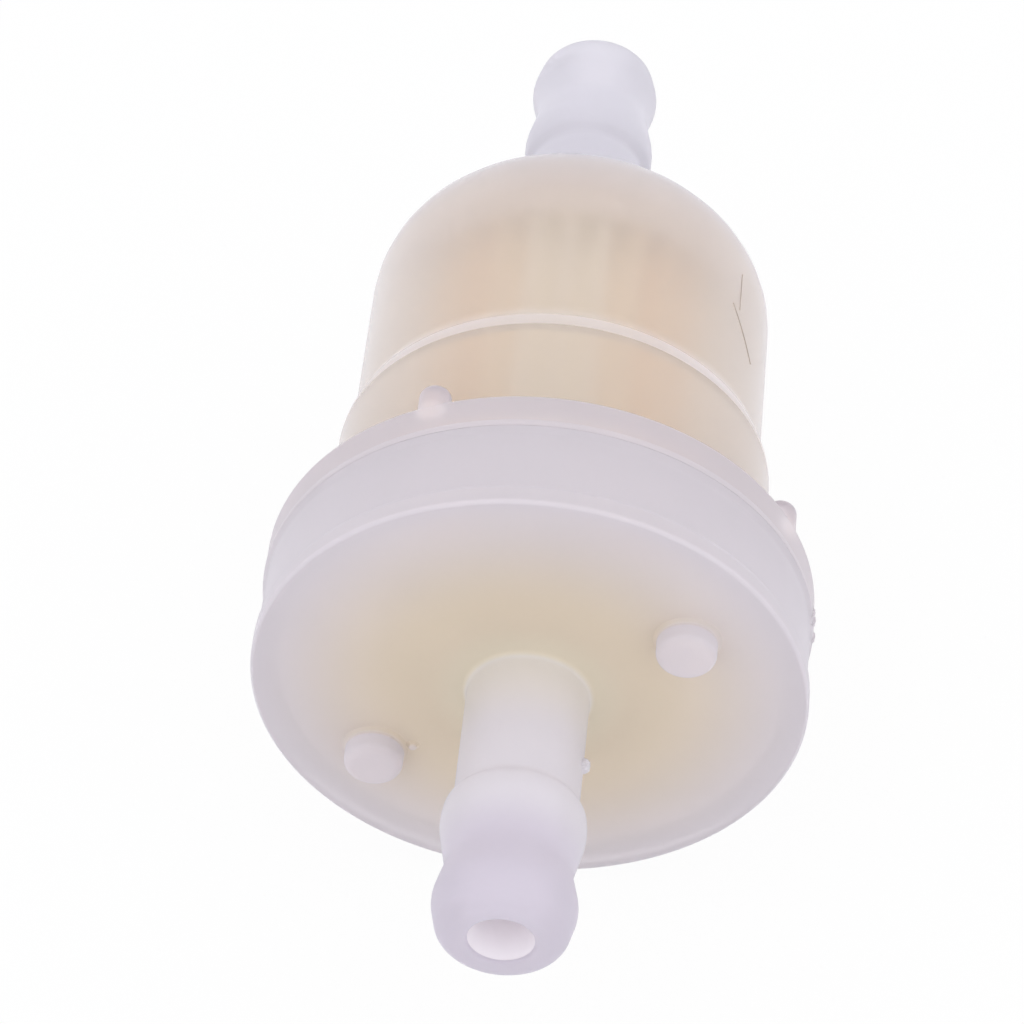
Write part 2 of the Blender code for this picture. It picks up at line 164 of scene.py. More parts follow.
# Raised flow arrow on the bowl
ARROW_TURN = math.radians(22.5)
ARROW_TIP = STEP_LEVEL + 4.2 * MM
ARROW_HEAD_LENGTH = 3.2 * MM
ARROW_HEAD_WIDTH = 5.9 * MM
ARROW_SHAFT_LENGTH = 3.6 * MM
ARROW_SHAFT_WIDTH = 4.2 * MM
ARROW_RISE = 0.06 * MM

# Paper element
PLEATS = 24
FOLD_RADIUS = 0.3 * MM
FOLD_STEPS = 6
PAPER_THICKNESS = 0.4 * MM
PAPER_INSIDE = 4.9 * MM
PAPER_WANDER = 0.06 * MM
PAPER_SEED = 7
PAPER_ROWS = 8
SEAM_OUTSIDE = 8.7 * MM
SEAM_INSIDE = 7.1 * MM
SEAM_WIDTH = 0.7 * MM
SEAM_ROOT = 0.16 * MM
CAP_THICKNESS = 1.0 * MM
CAP_RIM_WALL = 0.8 * MM
CAP_RIM_HEIGHT = 3.0 * MM
HUB_RADIUS = 3.6 * MM
HUB_WALL = 1.2 * MM
COLLAR_HEIGHT = 1.5 * MM
GLUE_INSIDE = HUB_RADIUS + 0.3 * MM
STANDOFF_COUNT = 4
STANDOFF_MIDDLE = 5.0 * MM
STANDOFF_LENGTH = 3.2 * MM
STANDOFF_THICKNESS = 1.0 * MM

# Colours of the nylon, linear
MILK = (0.94, 0.87, 0.9)
BAND_MILK = (0.87, 0.82, 0.86)
FLANGE_MILK = (0.85, 0.78, 0.81)
# Painted shade: the pegs darker than the flange they stand on
PEG_SHADE_MILK = (0.74, 0.67, 0.71)
INLET_MILK = (0.88, 0.86, 0.92)
STEM_MILK = (0.92, 0.89, 0.93)
# Painted shade: the outlet stem darker towards its tip
TIP_SHADE_MILK = (0.79, 0.74, 0.83)
# Painted light: the outlet stem is lighter towards its root
ROOT_GLOW_MILK = (1.0, 0.95, 0.87)
BORE_MILK = (0.97, 0.95, 0.99)
# Painted light: the warm glow of the element in the middle of the base
BASE_GLOW_MILK = (0.94, 0.81, 0.62)
# Painted light: a cream glow on the base round the outlet stem's root
CREAM_GLOW_MILK = (1.0, 0.9, 0.7)
# Painted highlight: the light line round the base's edge and the lighter sides of the bosses
HIGHLIGHT_MILK = (1.0, 0.95, 1.0)
DOME_MILK = (0.78, 0.73, 0.79)
WALL_MILK = (0.95, 0.84, 0.74)
LINING_MILK = (1.0, 1.0, 1.0)
RING_MILK = (0.77, 0.66, 0.53)

# Finishes of the nylon: how clear it is, how frosted, and how much its edges glow
SOLID_FINISH = (0.4, 0.4, 0.3)
WALL_FINISH = (0.6, 0.15, 0.4)
LINING_FINISH = (1.0, 0.44, 0.0)
RING_FINISH = (0.3, 0.3, 0.3)
BORE_FINISH = (0.0, 0.4, 0.0)
# Painted glow: the strength of the faint light the bore gives off
BORE_GLOW = 0.045
NYLON_IOR = 1.35
EDGE_TINT = (0.92, 0.9, 1.0)
EDGE_SPREAD = 0.5
# Strength of the painted highlight round the base's edge
EDGE_HIGHLIGHT_SHARE = 0.8

# Where one colour of the nylon fades into the next, as start and end: distances out from the axis
INLET_FADE = (6.5 * MM, 5.0 * MM)
BOSS_SIDE_FADE = (6.0 * MM, 7.0 * MM)
STEM_SIDE_FADE = (7.0 * MM, 6.0 * MM)
BASE_GLOW_FADE = (18.5 * MM, 8.0 * MM)
CREAM_GLOW_FADE = (7.0 * MM, 4.3 * MM)
EDGE_HIGHLIGHT_SIDE_FADE = (RIM_RADIUS - 0.3 * MM, RIM_RADIUS - 0.1 * MM)

# The same for distances along the axis
PEG_SHADE_FADE = (FLANGE_TOP, FLANGE_TOP + 0.8 * MM)
DOME_FADE = (DOME_TOP + 3.0 * MM, DOME_TOP - 9.0 * MM)
BOSS_FADE = (BASE_FACE - 0.1 * MM, BASE_FACE - 0.5 * MM)
# Where the painted light on the bosses' sides gives way to plain milk at their heads
BOSS_LIT_SIDE_FADE = (BASE_FACE - 1.2 * MM, BASE_FACE - 1.7 * MM)
STEM_FADE = (BASE_FACE, BASE_FACE - 0.25 * MM)
ROOT_GLOW_FADE = (BASE_FACE - 0.5 * MM, BASE_FACE - 6.0 * MM)
TIP_SHADE_FADE = (BASE_FACE - 11.0 * MM, BASE_FACE - 14.5 * MM)
EDGE_HIGHLIGHT_FADE = (BASE_FACE + 0.35 * MM, BASE_FACE + 0.15 * MM)
BAND_FADE = (BASE_FACE + 0.3 * MM, BASE_FACE + 0.8 * MM)

# Patterns in the milk: fineness per metre and detail, then how strongly they show
CLOUD_NOISE = (130, 3)
STREAK_NOISE = (420, 2)
STREAK_STRETCH = (1, 0.12, 1)
GRAIN_NOISE = (2600, 2)
CLOUD_DEPTH = 0.06
CLOUD_LOWEST = 0.97
STREAK_DEPTH = 0.1

# Grain of each surface: depth and strength
NYLON_GRAIN = (0.03 * MM, 0.1)
PAPER_GRAIN = (0.1 * MM, 0.4)
PLASTIC_GRAIN = (0.05 * MM, 0.2)

# Colours and finishes of the element, linear
PAPER_LIGHT = (0.99, 0.95, 0.83)
# Painted shade: the bands where the element's sides look darker, and the darker patches of its cloud
PAPER_PAINTED_SHADE_AND_CLOUD = (0.96, 0.76, 0.46)
# Painted glow: the strength of the faint light the paper gives off
PAPER_GLOW = 0.07
SHADE_STRIPE_COUNT = 4
SHADE_STRIPE_FADE = (-0.9, 0.6)
PAPER_CLOUD_FADE = (-0.6, 0.7)
PAPER_ROUGHNESS = 0.9
CAP_LIGHT = (0.93, 0.87, 0.84)
CAP_SHADE = (0.87, 0.8, 0.77)
CAP_ROUGHNESS = 0.55
GLUE_LIGHT = (0.85, 0.72, 0.48)
GLUE_SHADE = (0.78, 0.64, 0.4)
GLUE_ROUGHNESS = 0.4

# Studio: lengths in metres, lamp power in watts
FLOOR_SIZE = 4.0
FLOOR_COLOUR = (0.9, 0.9, 0.9)
FLOOR_ROUGHNESS = 0.9
FLOOR_GLOW = 0.95
AMBIENT_COLOUR = (0.97, 0.97, 1.0)
AMBIENT_POWER = 1.06
LAMP_SIZE = 0.6
KEY_PLACE = (-0.3, -0.5, 0.55)
KEY_POWER = 0.3
FILL_PLACE = (0.5, -0.5, 0.3)
FILL_POWER = 0.2

# Camera, fitted to the photograph
CAMERA_PLACE = Vector((14.27, -182.40, 203.90)) * MM
CAMERA_AZIMUTH = math.radians(4.99)
CAMERA_ELEVATION = math.radians(46.67)
CAMERA_LENS = 146.6
CAMERA_SENSOR = 36.0
CAMERA_NEAR = 0.01

# Mesh fineness
SPIN_STEPS = 144
STUD_STEPS = 48
LUMP_SPLITS = 3
ARC_STEP = math.radians(11)
SAME_PLACE = 0.001 * MM
SMOOTH_ANGLE = math.radians(32)

# How faces are told apart: margins, and the slope of a face's normal
WALL_MARGIN = 0.3 * MM
DOME_MARGIN = 0.1 * MM
INWARD_SLOPE = -0.05
CEILING_SLOPE = -0.7


def deselect():
    bpy.ops.object.select_all(action="DESELECT")


def work_on(piece):
    deselect()
    piece.select_set(True)
    bpy.context.view_layer.objects.active = piece


def start_piece(name):
    """Names the piece that an operator has just made and opens it for editing by points."""
    piece = bpy.context.object
    piece.name = name
    piece.data.name = name
    bpy.ops.object.transform_apply(location=True, rotation=True, scale=True)
    bpy.ops.object.mode_set(mode="EDIT")
    bpy.ops.mesh.select_mode(type="VERT")
    bpy.ops.mesh.select_all(action="SELECT")
    return piece


def close_piece():
    """Joins doubled points, turns every face outwards and leaves editing."""
    bpy.ops.mesh.select_all(action="SELECT")
    bpy.ops.mesh.remove_doubles(threshold=SAME_PLACE)
    bpy.ops.mesh.normals_make_consistent(inside=False)
    bpy.ops.object.mode_set(mode="OBJECT")


def select_points(piece, wanted):
    """Selects the points whose place the test accepts."""
    shape = bmesh.from_edit_mesh(piece.data)
    for point in shape.verts:
        point.select = wanted(point.co)
    shape.select_flush_mode()
    bmesh.update_edit_mesh(piece.data)


def near(place, *others):
    return any((place - other).length < SAME_PLACE for other in others)


def radius_of(place):
    return math.hypot(place.x, place.z)


def bevel_points(fillet, half_angle, segments):
    """Rounds the selected corners of an outline."""
    bpy.ops.mesh.bevel(
        affect="VERTICES",
        offset_type="OFFSET",
        offset=fillet / math.tan(half_angle),
        segments=segments,
        profile=0.5,
        clamp_overlap=False,
    )


def round_corner(piece, before, here, after, fillet):
    half = (before - here).angle(after - here) / 2
    select_points(piece, lambda place: near(place, here))
    bevel_points(fillet, half, max(2, math.ceil((math.pi - 2 * half) / ARC_STEP)))


def turned(name, corners, closed=True, steps=SPIN_STEPS):
    """A piece drawn as an outline and spun round the axis."""
    deselect()
    bpy.ops.mesh.primitive_plane_add(size=MM)
    piece = start_piece(name)
    bpy.ops.mesh.merge(type="CENTER")
    places = [Vector((radius, along, 0)) for radius, along, fillet in corners]
    bpy.ops.transform.translate(value=places[0])
    for here, there in zip(places, places[1:]):
        bpy.ops.mesh.extrude_vertices_move(TRANSFORM_OT_translate={"value": there - here})
    if closed:
        select_points(piece, lambda place: near(place, places[0], places[-1]))
        bpy.ops.mesh.edge_face_add()
    for index, (radius, along, fillet) in enumerate(corners):
        if fillet:
            after = places[(index + 1) % len(places)]
            round_corner(piece, places[index - 1], places[index], after, fillet)
    bpy.ops.mesh.select_all(action="SELECT")
    bpy.ops.mesh.spin(steps=steps, angle=2 * math.pi, center=(0, 0, 0), axis=(0, 1, 0))
    close_piece()
    return piece


def placed(piece, offset, turn=0.0):
    """Moves a piece and turns it about the axis, in its mesh."""
    work_on(piece)
    piece.location = offset
    piece.rotation_euler = (0, -turn, 0)
    bpy.ops.object.transform_apply(location=True, rotation=True, scale=True)
    return piece


def combine(piece, other, operation):
    work_on(piece)
    change = piece.modifiers.new(operation.lower(), "BOOLEAN")
    change.operation = operation
    change.solver = "EXACT"
    change.object = other
    bpy.ops.object.modifier_apply(modifier=change.name)
    bpy.data.objects.remove(other)


def finished(piece, parts=()):
    """Makes the parts one body with the piece and smooths its round faces."""
    for part in parts:
        combine(piece, part, "UNION")
    work_on(piece)
    bpy.ops.object.shade_smooth_by_angle(angle=SMOOTH_ANGLE)
    return piece


def round_place(circle, along, turn):
    return Vector((circle * math.cos(turn), along, circle * math.sin(turn)))


def stud(name, radius, height, edge_round, flare, place, way):
    """A round stud that stands on a face, with a soft edge at its head and a flare at its root."""
    corners = [
        (0, way * height, 0),
        (radius, way * height, edge_round),
        (radius, way * flare, 0),
        (radius + flare, 0, 0),
        (radius + flare, -way * STUD_SUNK, 0),
        (0, -way * STUD_SUNK, 0),
    ]
    return placed(turned(name, corners, closed=False, steps=STUD_STEPS), place)


def lump(name, size, place):
    """A small round blob of plastic."""
    deselect()
    bpy.ops.mesh.primitive_ico_sphere_add(subdivisions=LUMP_SPLITS, radius=size)
    start_piece(name)
    uneven = size * LUMP_UNEVENNESS
    bpy.ops.transform.vertex_random(offset=uneven, uniform=0.0, normal=1.0, seed=LUMP_SEED)
    close_piece()
    return placed(bpy.context.object, place)


def block(name, size):
    """A plate with its middle at the origin."""
    deselect()
    bpy.ops.mesh.primitive_cube_add(size=1)
    bpy.context.object.scale = size
    start_piece(name)
    close_piece()
    return bpy.context.object


def stem(tip, root):
    """A hose stem's outside from its tip to the housing."""
    way = math.copysign(1.0, root - tip)
    return [
        (BORE_RADIUS, tip, BORE_EDGE),
        (STEM_RADIUS, tip, TIP_ROUND),
        (BULB_RADIUS, tip + way * BULB_SETBACK, BULB_ROUND),
        (STEM_RADIUS, tip + way * NECK_SETBACK, BULB_ROUND),
        (BARB_RADIUS, tip + way * BARB_SETBACK, BARB_ROUND),
        (HEEL_RADIUS, tip + way * HEEL_SETBACK, HEEL_ROUND),
        (STEM_RADIUS, tip + way * (HEEL_SETBACK + HEEL_LENGTH), HEEL_ROUND),
        (STEM_RADIUS, root, STEM_ROOT),
    ]


def shoulder():
    """The soft step in the bowl's wall, from top to bottom."""
    corners = []
    for stop in range(SHOULDER_STEPS + 1):
        share = stop / SHOULDER_STEPS
        out = (1 - math.cos(math.pi * share)) / 2
        corners.append((UPPER_RADIUS + STEP_WIDTH * out, STEP_LEVEL - SHOULDER_LENGTH * share, 0))
    return corners


def flow_arrow():
    """A raised arrow that points to the outlet, cut to the round of the bowl."""
    inside = UPPER_RADIUS - WALL / 2
    neck = ARROW_TIP + ARROW_HEAD_LENGTH
    deselect()
    bpy.ops.mesh.primitive_plane_add(
        size=1, location=(inside, neck + ARROW_SHAFT_LENGTH / 2, 0), rotation=(0, math.pi / 2, 0)
    )
    bpy.context.object.scale = (ARROW_SHAFT_WIDTH, ARROW_SHAFT_LENGTH, 1)
    arrow = start_piece("flow_arrow")
    select_points(arrow, lambda place: abs(place.y - neck) < SAME_PLACE)
    bpy.ops.mesh.extrude_edges_move()
    widen = ARROW_HEAD_WIDTH / ARROW_SHAFT_WIDTH
    bpy.ops.transform.resize(value=(1, 1, widen), center_override=(inside, neck, 0))
    bpy.ops.mesh.extrude_edges_move(TRANSFORM_OT_translate={"value": (0, -ARROW_HEAD_LENGTH, 0)})
    bpy.ops.mesh.merge(type="CENTER")
    bpy.ops.mesh.select_all(action="SELECT")
    bpy.ops.mesh.remove_doubles(threshold=SAME_PLACE)
    bpy.ops.mesh.extrude_region_move(TRANSFORM_OT_translate={"value": (2 * WALL, 0, 0)})
    close_piece()
    face = UPPER_RADIUS + ARROW_RISE
    barrel = [(0, DOME_TOP, 0), (face, DOME_TOP, 0), (face, 0, 0), (0, 0, 0)]
    combine(arrow, turned("arrow_barrel", barrel, closed=False), "INTERSECT")
    return placed(arrow, (0, 0, 0), ARROW_TURN)


def make_bowl():
    spigot_inside = SPIGOT_RADIUS - SPIGOT_WALL
    flange_inside = FLANGE_TOP - WALL
    upper_inside = UPPER_RADIUS - WALL
    lower_inside = LOWER_RADIUS - WALL
    corners = stem(INLET_TIP, DOME_TOP)
    corners.append((UPPER_RADIUS, DOME_TOP, DOME_ROUND))
    corners.extend(shoulder())
    corners.extend(
        [
            (LOWER_RADIUS, FLANGE_TOP, SOFT_EDGE),
            (RIM_RADIUS, FLANGE_TOP, SOFT_EDGE),
            (RIM_RADIUS, WELD_LINE + WELD_GROOVE, 0),
            (RIM_RADIUS - WELD_GROOVE, WELD_LINE, 0),
            (SPIGOT_RADIUS, WELD_LINE, 0),
            (SPIGOT_RADIUS, SPIGOT_END, SOFT_EDGE),
            (spigot_inside, SPIGOT_END, SOFT_EDGE),
            (spigot_inside, flange_inside, SOFT_EDGE),
            (lower_inside, flange_inside, SOFT_EDGE),
            (lower_inside, INNER_STEP_TOP - INNER_STEP_LENGTH, CRISP_EDGE),
            (upper_inside, INNER_STEP_TOP, CRISP_EDGE),
            (upper_inside, DOME_TOP - WALL, DOME_ROUND - WALL),
            (BORE_RADIUS, DOME_TOP - WALL, SOFT_EDGE),
        ]
    )
    parts = [flow_arrow()]
    for number in range(PEG_COUNT):
        turn = PEG_TURN + 2 * math.pi * number / PEG_COUNT
        place = round_place(PEG_CIRCLE, FLANGE_TOP, turn)
        parts.append(stud("peg", PEG_RADIUS, PEG_HEIGHT, PEG_ROUND, PEG_FLARE, place, 1))
    return finished(turned("bowl_shell", corners), parts)


def make_base_cup():
    band_inside = BAND_RADIUS - BAND_WALL
    floor = BASE_FACE + BASE_FLOOR
    socket = BASE_FACE + SOCKET_WEB
    seat = floor + SEAT_HEIGHT
    lip = BASE_FACE + LIP_HEIGHT
    corners = [
        (band_inside, -WELD_LINE, 0),
        (RIM_RADIUS - WELD_GROOVE, -WELD_LINE, 0),
        (RIM_RADIUS, -WELD_LINE - WELD_GROOVE, 0),
        (BAND_RADIUS, BAND_TOP, SOFT_EDGE),
        (BAND_RADIUS, lip + WELD_GROOVE, SOFT_EDGE),
        (RIM_RADIUS, lip, SOFT_EDGE),
        (RIM_RADIUS, BASE_FACE, BASE_EDGE),
        *reversed(stem(OUTLET_TIP, BASE_FACE)),
        (BORE_RADIUS, socket, 0),
        (SEAT_RADIUS, socket, 0),
        (SEAT_RADIUS, seat, CRISP_EDGE),
        (SEAT_RADIUS + SEAT_WALL, seat, CRISP_EDGE),
        (SEAT_RADIUS + SEAT_WALL, floor, CRISP_EDGE),
        (band_inside, floor, SOFT_EDGE),
    ]
    gate = round_place(GATE_CIRCLE, BASE_FACE, GATE_TURN)
    parts = [
        stud("gate_mark", GATE_RADIUS, GATE_HEIGHT, CRISP_EDGE, CRISP_EDGE, gate, -1),
        lump("stem_nub", NUB_SIZE, round_place(STEM_RADIUS, OUTLET_TIP + NUB_SETBACK, NUB_TURN)),
    ]
    for number in range(BOSS_COUNT):
        turn = BOSS_TURN + 2 * math.pi * number / BOSS_COUNT
        place = round_place(BOSS_CIRCLE, BASE_FACE, turn)
        parts.append(stud("boss", BOSS_RADIUS, BOSS_HEIGHT, BOSS_ROUND, BOSS_FLARE, place, -1))
    return finished(turned("base_cup_shell", corners), parts)


def make_weld_bead():
    """The fused seam that fills the groove between the halves, with lumps of flash on one side."""
    corners = [
        (RIM_RADIUS - WELD_GROOVE, 0, 0),
        (RIM_RADIUS, WELD_GROOVE, 0),
        (RIM_RADIUS + WELD_RISE, 0, SOFT_EDGE),
        (RIM_RADIUS, -WELD_GROOVE, 0),
    ]
    parts = []
    for turn in FLASH_TURNS:
        parts.append(lump("flash", FLASH_SIZE, round_place(FLASH_CIRCLE, 0, turn)))
    return finished(turned("weld_seam", corners), parts)


def make_paper():
    """A circle pulled into a star, its folds rounded, then drawn up to the paper's length and thickened."""
    crest = PAPER_HIGH[0] - PAPER_THICKNESS / 2 - PAPER_WANDER
    valley = PAPER_INSIDE + PAPER_THICKNESS / 2
    half_pitch = math.pi / PLEATS
    crest_half = math.atan2(valley * math.sin(half_pitch), crest - valley * math.cos(half_pitch))
    valley_half = crest_half + half_pitch
    sharp_crest = crest + FOLD_RADIUS / math.sin(crest_half) - FOLD_RADIUS
    sharp_valley = valley - FOLD_RADIUS / math.sin(valley_half) + FOLD_RADIUS
    foot = Vector((0, PAPER_LOW[1], 0))
    deselect()
    bpy.ops.mesh.primitive_circle_add(
        vertices=2 * PLEATS, radius=sharp_crest, location=foot, rotation=(math.pi / 2, 0, 0)
    )
    paper = start_piece("pleated_paper")
    select_points(paper, lambda place: round(math.atan2(place.z, place.x) / half_pitch) % 2 == 1)
    pull = sharp_valley / sharp_crest
    bpy.ops.transform.resize(value=(pull, 1, pull), center_override=foot)
    for radius, half in ((sharp_crest, crest_half), (sharp_valley, valley_half)):
        select_points(paper, lambda place: abs(radius_of(place) - radius) < SAME_PLACE)
        bevel_points(FOLD_RADIUS, half, FOLD_STEPS)
    bpy.ops.mesh.select_all(action="SELECT")
    rise = (PAPER_HIGH[1] - PAPER_LOW[1]) / PAPER_ROWS
    for row in range(PAPER_ROWS):
        bpy.ops.mesh.extrude_edges_move(TRANSFORM_OT_translate={"value": (0, rise, 0)})
    bpy.ops.mesh.select_all(action="SELECT")
    bpy.ops.transform.vertex_random(offset=PAPER_WANDER, uniform=1.0, normal=0.0, seed=PAPER_SEED)
    close_piece()
    wall = paper.modifiers.new("thickness", "SOLIDIFY")
    wall.thickness = PAPER_THICKNESS
    wall.offset = 0
    bpy.ops.object.modifier_apply(modifier=wall.name)
    return finished(paper)


def make_seam_bead():
    """The wedge of glue that closes the paper strip, in the mouth of one fold."""
    length = PAPER_HIGH[1] - PAPER_LOW[1]
    wedge = block("paper_seam", (SEAM_OUTSIDE - SEAM_INSIDE, length, SEAM_WIDTH))
    work_on(wedge)
    bpy.ops.object.mode_set(mode="EDIT")
    select_points(wedge, lambda place: place.x < 0)
    bpy.ops.transform.resize(value=(1, 1, SEAM_ROOT / SEAM_WIDTH))
    bpy.ops.mesh.select_all(action="SELECT")
    bpy.ops.mesh.bevel(offset=SEAM_ROOT / 3, segments=2, affect="EDGES")
    close_piece()
    middle = (SEAM_OUTSIDE + SEAM_INSIDE) / 2
    turn = -math.pi / PLEATS
    placed(wedge, round_place(middle, PAPER_LOW[1] + length / 2, turn), turn)
    return finished(wedge)


def make_top_cap():
    """The closed dish on the inlet end, with plates that hold it off the dome."""
    radius = TOP_CAP_HIGH[0]
    inside = radius - CAP_RIM_WALL
    top = TOP_CAP_LOW[1] + CAP_RIM_HEIGHT
    floor = top - CAP_THICKNESS
    corners = [
        (0, top, 0),
        (radius, top, SOFT_EDGE),
        (radius, TOP_CAP_LOW[1], CRISP_EDGE),
        (inside, TOP_CAP_LOW[1], CRISP_EDGE),
        (inside, floor, CRISP_EDGE),
        (0, floor, 0),
    ]
    foot = top - CAP_THICKNESS / 2
    height = TOP_CAP_HIGH[1] - foot
    parts = []
    for number in range(STANDOFF_COUNT):
        turn = 2 * math.pi * (number + 0.5) / STANDOFF_COUNT
        plate = block("standoff", (STANDOFF_LENGTH, height, STANDOFF_THICKNESS))
        parts.append(placed(plate, round_place(STANDOFF_MIDDLE, foot + height / 2, turn), turn))
    return finished(turned("element_top_cap", corners, closed=False), parts)


def make_bottom_cap():
    """The open dish on the outlet end, with a hub that plugs into the base."""
    radius = BOTTOM_CAP_HIGH[0]
    inside = radius - CAP_RIM_WALL
    base = BOTTOM_CAP_HIGH[1] - CAP_RIM_HEIGHT
    floor = base + CAP_THICKNESS
    hub_inside = HUB_RADIUS - HUB_WALL
    corners = [
        (inside, BOTTOM_CAP_HIGH[1], CRISP_EDGE),
        (radius, BOTTOM_CAP_HIGH[1], CRISP_EDGE),
        (radius, base, SOFT_EDGE),
        (HUB_RADIUS, base, 0),
        (HUB_RADIUS, BOTTOM_CAP_LOW[1], CRISP_EDGE),
        (hub_inside, BOTTOM_CAP_LOW[1], CRISP_EDGE),
        (hub_inside, floor + COLLAR_HEIGHT, CRISP_EDGE),
        (HUB_RADIUS, floor + COLLAR_HEIGHT, CRISP_EDGE),
        (HUB_RADIUS, floor, CRISP_EDGE),
        (inside, floor, CRISP_EDGE),
    ]
    return finished(turned("element_bottom_cap", corners))


def make_potting(name, low, high, inside):
    """A poured layer of glue in a cap: a full disc, or a ring round the hub."""
    radius = high[0]
    corners = [
        (inside, high[1], CRISP_EDGE if inside else 0),
        (radius, high[1], CRISP_EDGE),
        (radius, low[1], CRISP_EDGE),
        (inside, low[1], CRISP_EDGE if inside else 0),
    ]
    return finished(turned(name, corners, closed=inside > 0))


def feed(tree, socket, value):
    """Gives a socket another socket's value or a plain one."""
    if isinstance(value, bpy.types.NodeSocket):
        tree.links.new(value, socket)
    else:
        socket.default_value = value


def reckon(tree, operation, *values):
    step = tree.nodes.new("ShaderNodeMath")
    step.operation = operation
    for socket, value in zip(step.inputs, values):
        feed(tree, socket, value)
    return step.outputs[0]


def product(tree, first, *others):
    for other in others:
        first = reckon(tree, "MULTIPLY", first, other)
    return first


def fade(tree, value, start, end):
    """0 at the start, 1 at the end and a soft change between them."""
    step = tree.nodes.new("ShaderNodeMapRange")
    step.interpolation_type = "SMOOTHSTEP"
    feed(tree, step.inputs["Value"], value)
    feed(tree, step.inputs["From Min"], start)
    feed(tree, step.inputs["From Max"], end)
    return step.outputs["Result"]


def blend(tree, share, first, second):
    """A colour between two others."""
    step = tree.nodes.new("ShaderNodeMixRGB")
    for socket, value in zip(step.inputs, (share, first, second)):
        feed(tree, socket, (*value, 1) if isinstance(value, tuple) else value)
    return step.outputs[0]


def shaded(tree, colour, share):
    """A colour made lighter or darker by a factor."""
    step = tree.nodes.new("ShaderNodeVectorMath")
    step.operation = "SCALE"
    feed(tree, step.inputs[0], colour)
    feed(tree, step.inputs["Scale"], share)
    return step.outputs[0]


def noise(tree, vector, scale, detail):
    step = tree.nodes.new("ShaderNodeTexNoise")
    feed(tree, step.inputs["Vector"], vector)
    feed(tree, step.inputs["Scale"], scale)
    feed(tree, step.inputs["Detail"], detail)
    return step.outputs["Fac"]


def stretched(tree, vector, factors):
    step = tree.nodes.new("ShaderNodeVectorMath")
    step.operation = "MULTIPLY"
    feed(tree, step.inputs[0], vector)
    feed(tree, step.inputs[1], factors)
    return step.outputs[0]


def new_group(name, outputs):
    """A shader group that turns a place into a few values."""
    group = bpy.data.node_groups.new(name, "ShaderNodeTree")
    group.interface.new_socket("Place", in_out="INPUT", socket_type="NodeSocketVector")
    for label in outputs:
        group.interface.new_socket(label, in_out="OUTPUT", socket_type="NodeSocketFloat")
    start = group.nodes.new("NodeGroupInput")
    end = group.nodes.new("NodeGroupOutput")
    return group, start.outputs["Place"], end


def use_group(tree, group):
    """The group's outputs for the piece's own coordinates."""
    place = tree.nodes.new("ShaderNodeTexCoord")
    step = tree.nodes.new("ShaderNodeGroup")
    step.node_tree = group
    feed(tree, step.inputs["Place"], place.outputs["Object"])
    return step.outputs


def axis_group():
    """The distance along the flow axis, the distance out from it and the turn round it from the top."""
    group, place, end = new_group("axis_place", ("Along", "Radius", "Turn"))
    parts = group.nodes.new("ShaderNodeSeparateXYZ")
    feed(group, parts.inputs[0], place)
    feed(group, end.inputs["Along"], parts.outputs["Y"])
    turn = reckon(group, "ARCTAN2", parts.outputs["X"], parts.outputs["Z"])
    feed(group, end.inputs["Turn"], turn)
    out = group.nodes.new("ShaderNodeVectorMath")
    out.operation = "LENGTH"
    feed(group, out.inputs[0], stretched(group, place, (1, 0, 1)))
    feed(group, end.inputs["Radius"], out.outputs["Value"])
    return group


def skin_group():
    """Cloudiness of the milk, faint streaks along the flow and the grain of a moulded skin."""
    group, place, end = new_group("moulded_skin", ("Cloud", "Streak", "Grain"))
    feed(group, end.inputs["Cloud"], noise(group, place, *CLOUD_NOISE))
    along_flow = stretched(group, place, STREAK_STRETCH)
    feed(group, end.inputs["Streak"], noise(group, along_flow, *STREAK_NOISE))
    feed(group, end.inputs["Grain"], noise(group, place, *GRAIN_NOISE))
    return group


def new_material(name):
    made = bpy.data.materials.new(name)
    made.use_nodes = True
    return made, made.node_tree, made.node_tree.nodes["Principled BSDF"]


def bumped(tree, shader, height, distance, strength):
    step = tree.nodes.new("ShaderNodeBump")
    feed(tree, step.inputs["Height"], height)
    feed(tree, step.inputs["Distance"], distance)
    feed(tree, step.inputs["Strength"], strength)
    feed(tree, shader.inputs["Normal"], step.outputs["Normal"])


def finish_nylon(tree, shader, colour, skin, finish):
    """Cloudy natural nylon: part milk and part frosted glass, with a faint moulded skin."""
    clarity, frost, glow = finish
    cloud = reckon(tree, "MULTIPLY_ADD", skin["Cloud"], CLOUD_DEPTH, CLOUD_LOWEST)
    roughness = reckon(tree, "MULTIPLY_ADD", skin["Streak"], STREAK_DEPTH, frost)
    feed(tree, shader.inputs["Base Color"], shaded(tree, colour, cloud))
    feed(tree, shader.inputs["Roughness"], roughness)
    feed(tree, shader.inputs["IOR"], NYLON_IOR)
    feed(tree, shader.inputs["Transmission Weight"], clarity)
    feed(tree, shader.inputs["Sheen Weight"], glow)
    feed(tree, shader.inputs["Sheen Tint"], (*EDGE_TINT, 1))
    feed(tree, shader.inputs["Sheen Roughness"], EDGE_SPREAD)
    bumped(tree, shader, skin["Grain"], *NYLON_GRAIN)


def bowl_nylon(axis, skin):
    """Lavender milk of the inlet stem, the flange and its pegs, with the pegs painted darker than the
    flange as painted shade.
    """
    made, tree, shader = new_material("bowl_nylon")
    place = use_group(tree, axis)
    on_stem = fade(tree, place["Radius"], *INLET_FADE)
    # Painted shade: the pegs darker than the flange
    peg_shade = fade(tree, place["Along"], *PEG_SHADE_FADE)
    colour = blend(tree, on_stem, blend(tree, peg_shade, FLANGE_MILK, PEG_SHADE_MILK), INLET_MILK)
    finish_nylon(tree, shader, colour, use_group(tree, skin), SOLID_FINISH)
    return made


